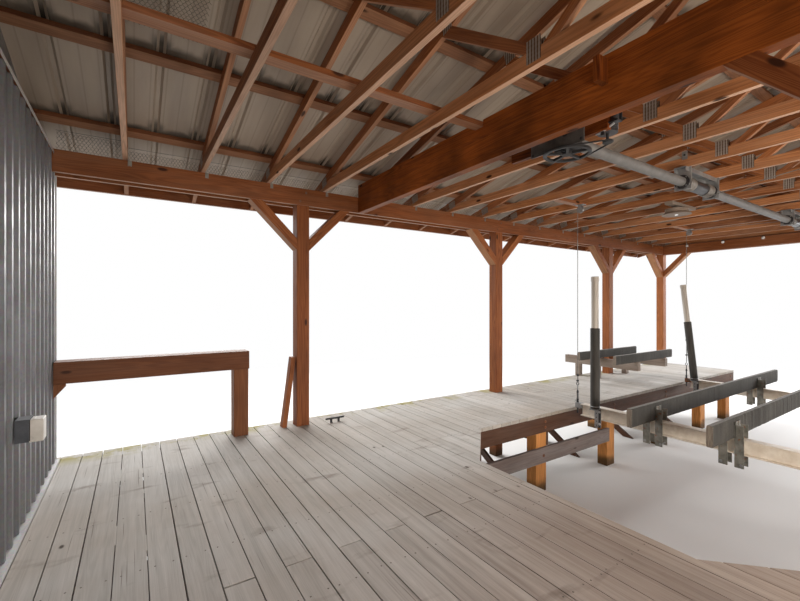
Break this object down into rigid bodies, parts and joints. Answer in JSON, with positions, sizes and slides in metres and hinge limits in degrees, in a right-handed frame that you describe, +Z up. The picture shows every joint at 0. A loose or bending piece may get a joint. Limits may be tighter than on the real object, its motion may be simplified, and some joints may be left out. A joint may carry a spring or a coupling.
{
  "type": "boathouse",
  "caption": "Open timber boathouse on piles with a low gable roof on trusses, a railed deck, twin slips and a cable boat lift.",
  "frame": {"origin": "at the water line, under the middle of the roof", "axes": "+X along the slips towards the open lake end, +Y across them, +Z up"},
  "size_m": [11.0406, 10.5102, 4.8542],
  "materials": {
    "stained_timber": "satin stained softwood",
    "weathered_deck": "matt weathered boards",
    "deck_framing": "matt treated softwood",
    "treated_piles": "matt treated softwood with knots",
    "roof_sheet": "coated ribbed steel sheet",
    "wall_sheet": "galvanised ribbed sheet",
    "trim_metal": "light folded trim",
    "grey_metal": "dull galvanised steel",
    "dark_metal": "dark housing",
    "beam_aluminium": "weathered mill finish",
    "bunk_carpet": "marine carpet over timber",
    "pole_plastic": "pale tube with a black foam sleeve",
    "box_plastic": "weatherproof box",
    "lamp_white": "frosted lens on a dark housing",
    "cable_wire": "wire rope"
  },
  "bodies": {
    "boathouse": {"side_posts": "stained_timber", "centre_posts": "stained_timber", "side_headers": "stained_timber", "cross_beam": "stained_timber", "end_headers": "stained_timber", "side_braces": "stained_timber", "beam_braces": "stained_timber", "bottom_chords": "stained_timber", "top_chords": "stained_timber", "outer_webs": "stained_timber", "inner_webs": "stained_timber", "lateral_braces": "stained_timber", "purlins": "stained_timber", "roof_sheets": "roof_sheet", "ridge_cap": "roof_sheet", "eave_fascias": "stained_timber", "barge_boards": "stained_timber", "gable_sheets": "wall_sheet", "wall_frame": "stained_timber", "wall_inner_sheets": "wall_sheet", "wall_outer_sheets": "wall_sheet", "wall_trim": "trim_metal", "outlet_box": "box_plastic", "shore_deck": "weathered_deck", "walkways": "weathered_deck", "finger_deck": "weathered_deck", "corner_decks": "weathered_deck", "rim_joists": "deck_framing", "deck_joists": "deck_framing", "pile_caps": "deck_framing", "deck_piles": "treated_piles", "lower_stringers": "deck_framing", "pile_braces": "deck_framing", "rail_post": "stained_timber", "rail": "stained_timber", "stub_board": "stained_timber", "dock_cleats": "grey_metal", "ski_trestles": "weathered_deck", "ski_bunks": "bunk_carpet", "flood_light": "lamp_white", "motor_board": "stained_timber", "lift_motor": "dark_metal", "drive_wheel": "grey_metal", "drive_tube": "grey_metal", "winder_frames": "grey_metal", "pulley_boards": "stained_timber", "lift_pulleys": "grey_metal", "fixed_cables": "cable_wire"},
    "cradle": {"lift_cables": "cable_wire", "turnbuckles": "dark_metal", "lift_beams": "beam_aluminium", "lift_bunks": "bunk_carpet", "bunk_brackets": "grey_metal", "guide_poles": "pole_plastic", "pole_brackets": "grey_metal"}
  },
  "joints": [
    {"name": "lift_raise", "type": "slide", "parent": "boathouse", "child": "cradle", "axis": [0, 0, 1], "range_m": [-0.8, 0.45], "deforming": ["lift_cables"]}
  ]
}
